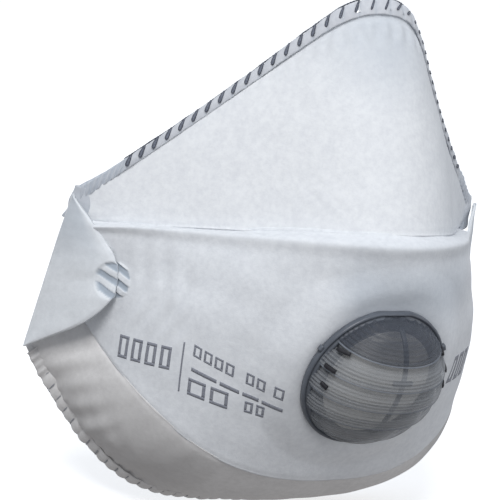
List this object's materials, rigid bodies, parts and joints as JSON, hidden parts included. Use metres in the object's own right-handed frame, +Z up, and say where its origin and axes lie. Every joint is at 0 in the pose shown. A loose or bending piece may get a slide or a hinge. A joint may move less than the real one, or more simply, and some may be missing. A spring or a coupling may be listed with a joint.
{
  "type": "disposable dust mask",
  "caption": "Flat-fold disposable dust mask opened to its worn shape, with three fabric panels, folded cheek tabs and a louvred exhalation valve.",
  "frame": {"origin": "midway between the two cheek folds, where the mask meets the sides of the face", "axes": "+Z up the face, +Y towards the face, -Y out through the valve, -X at the wearer's right cheek"},
  "size_m": [0.1502, 0.0895, 0.1573],
  "materials": {
    "outer_web": "matt needled spunbond web, fine fuzzy fibres",
    "tab_web": "smooth laminate, pressed flat at the cheek folds",
    "filter_web": "soft melt-blown filter web",
    "inner_web": "smooth spunbond lining with point bonds",
    "thread": "dark slate overlock thread",
    "clip_metal": "bare soft aluminium strip",
    "foam": "closed-cell soft foam, matt",
    "smoked_plastic": "see-through smoked blue-grey polypropylene",
    "seat_plastic": "moulded grey polypropylene",
    "silicone": "thin pale silicone sheet"
  },
  "bodies": {
    "mask_body": {"cover_middle": "outer_web", "filter_middle": "filter_web", "lining_middle": "inner_web", "side_tab_right": "tab_web", "side_tab_left": "tab_web", "valve_seat": "seat_plastic", "valve_cover": "smoked_plastic", "valve_clamp_ring": "seat_plastic", "valve_flap_root": "silicone", "valve_flap_bar": "seat_plastic"},
    "nose_panel": {"cover_upper": "outer_web", "filter_upper": "filter_web", "lining_upper": "inner_web", "nose_hem": "outer_web", "nose_clip": "clip_metal", "nose_foam": "foam", "nose_stitching": "thread"},
    "chin_panel": {"cover_lower": "outer_web", "filter_lower": "filter_web", "lining_lower": "inner_web", "chin_hem": "outer_web", "chin_stitching": "thread"},
    "flap": {"valve_flap": "silicone"}
  },
  "joints": [
    {"name": "nose_panel_fold", "type": "hinge", "parent": "mask_body", "child": "nose_panel", "pos_m": [0, -0.066, 0.0321], "axis": [1, 0, 0], "range_deg": [-35, 8], "deforming": ["cover_upper", "filter_upper", "lining_upper", "nose_hem", "nose_stitching"]},
    {"name": "chin_panel_fold", "type": "hinge", "parent": "mask_body", "child": "chin_panel", "pos_m": [0, -0.049, -0.046], "axis": [1, 0, 0], "range_deg": [-8, 35], "deforming": ["cover_lower", "filter_lower", "lining_lower", "chin_hem", "chin_stitching"]},
    {"name": "flap_open", "type": "hinge", "parent": "mask_body", "child": "flap", "pos_m": [0, -0.06903, 0.00061], "axis": [-1, 0, 0], "range_deg": [0, 6], "stiffness_Nm_per_rad": 0.0005, "springref_deg": -5.73}
  ]
}
